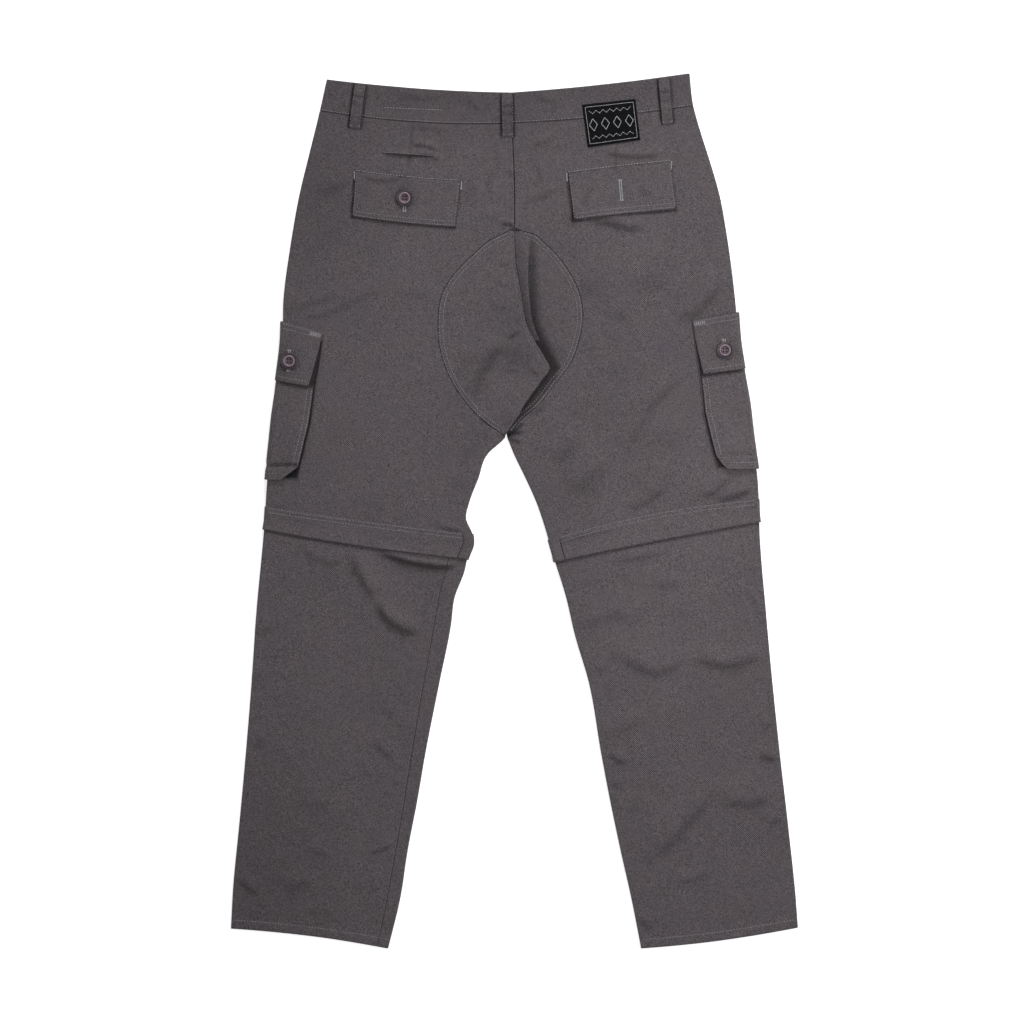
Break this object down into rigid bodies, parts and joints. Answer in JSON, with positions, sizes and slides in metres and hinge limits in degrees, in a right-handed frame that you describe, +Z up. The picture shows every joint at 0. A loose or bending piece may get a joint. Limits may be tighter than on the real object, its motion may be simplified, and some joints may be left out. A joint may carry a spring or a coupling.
{
  "type": "convertible zip-off trousers",
  "caption": "Convertible trousers with cargo pockets and zip-off lower legs, lying flat with the back upwards.",
  "frame": {"origin": "centre of the bounding box, on the surface that the trousers lie on", "axes": "+Y towards the waist along the garment, +Z up out of its back, +X to the right as seen from above"},
  "size_m": [0.6813, 1.051, 0.0169],
  "materials": {
    "twill": "dark warm grey cotton twill with lighter grey topstitching",
    "label": "black woven label",
    "zip": "dark woven zip tape with moulded teeth",
    "button": "purplish brown moulded plastic, slightly glossy"
  },
  "bodies": {
    "root": {"back_left": "twill", "back_right": "twill", "front_left": "twill", "front_right": "twill", "seat_patch_left": "twill", "seat_patch_right": "twill", "waistband_back": "twill", "waistband_front_left": "twill", "waistband_front_right": "twill", "belt_loop_left": "twill", "belt_loop_centre": "twill", "belt_loop_right": "twill", "back_flap_left": "twill", "back_flap_right": "twill", "label_patch": "label", "cargo_flap_left": "twill", "cargo_flap_right": "twill", "cargo_pocket_left": "twill", "cargo_pocket_right": "twill", "cargo_gusset_left": "twill", "cargo_gusset_right": "twill", "zip_band_left": "twill", "zip_band_right": "twill", "zip_left": "zip", "zip_right": "zip", "lower_back_left": "twill", "lower_back_right": "twill", "lower_front_left": "twill", "lower_front_right": "twill", "button_back_left": "button", "button_cargo_left": "button", "button_cargo_right": "button"}
  },
  "joints": []
}
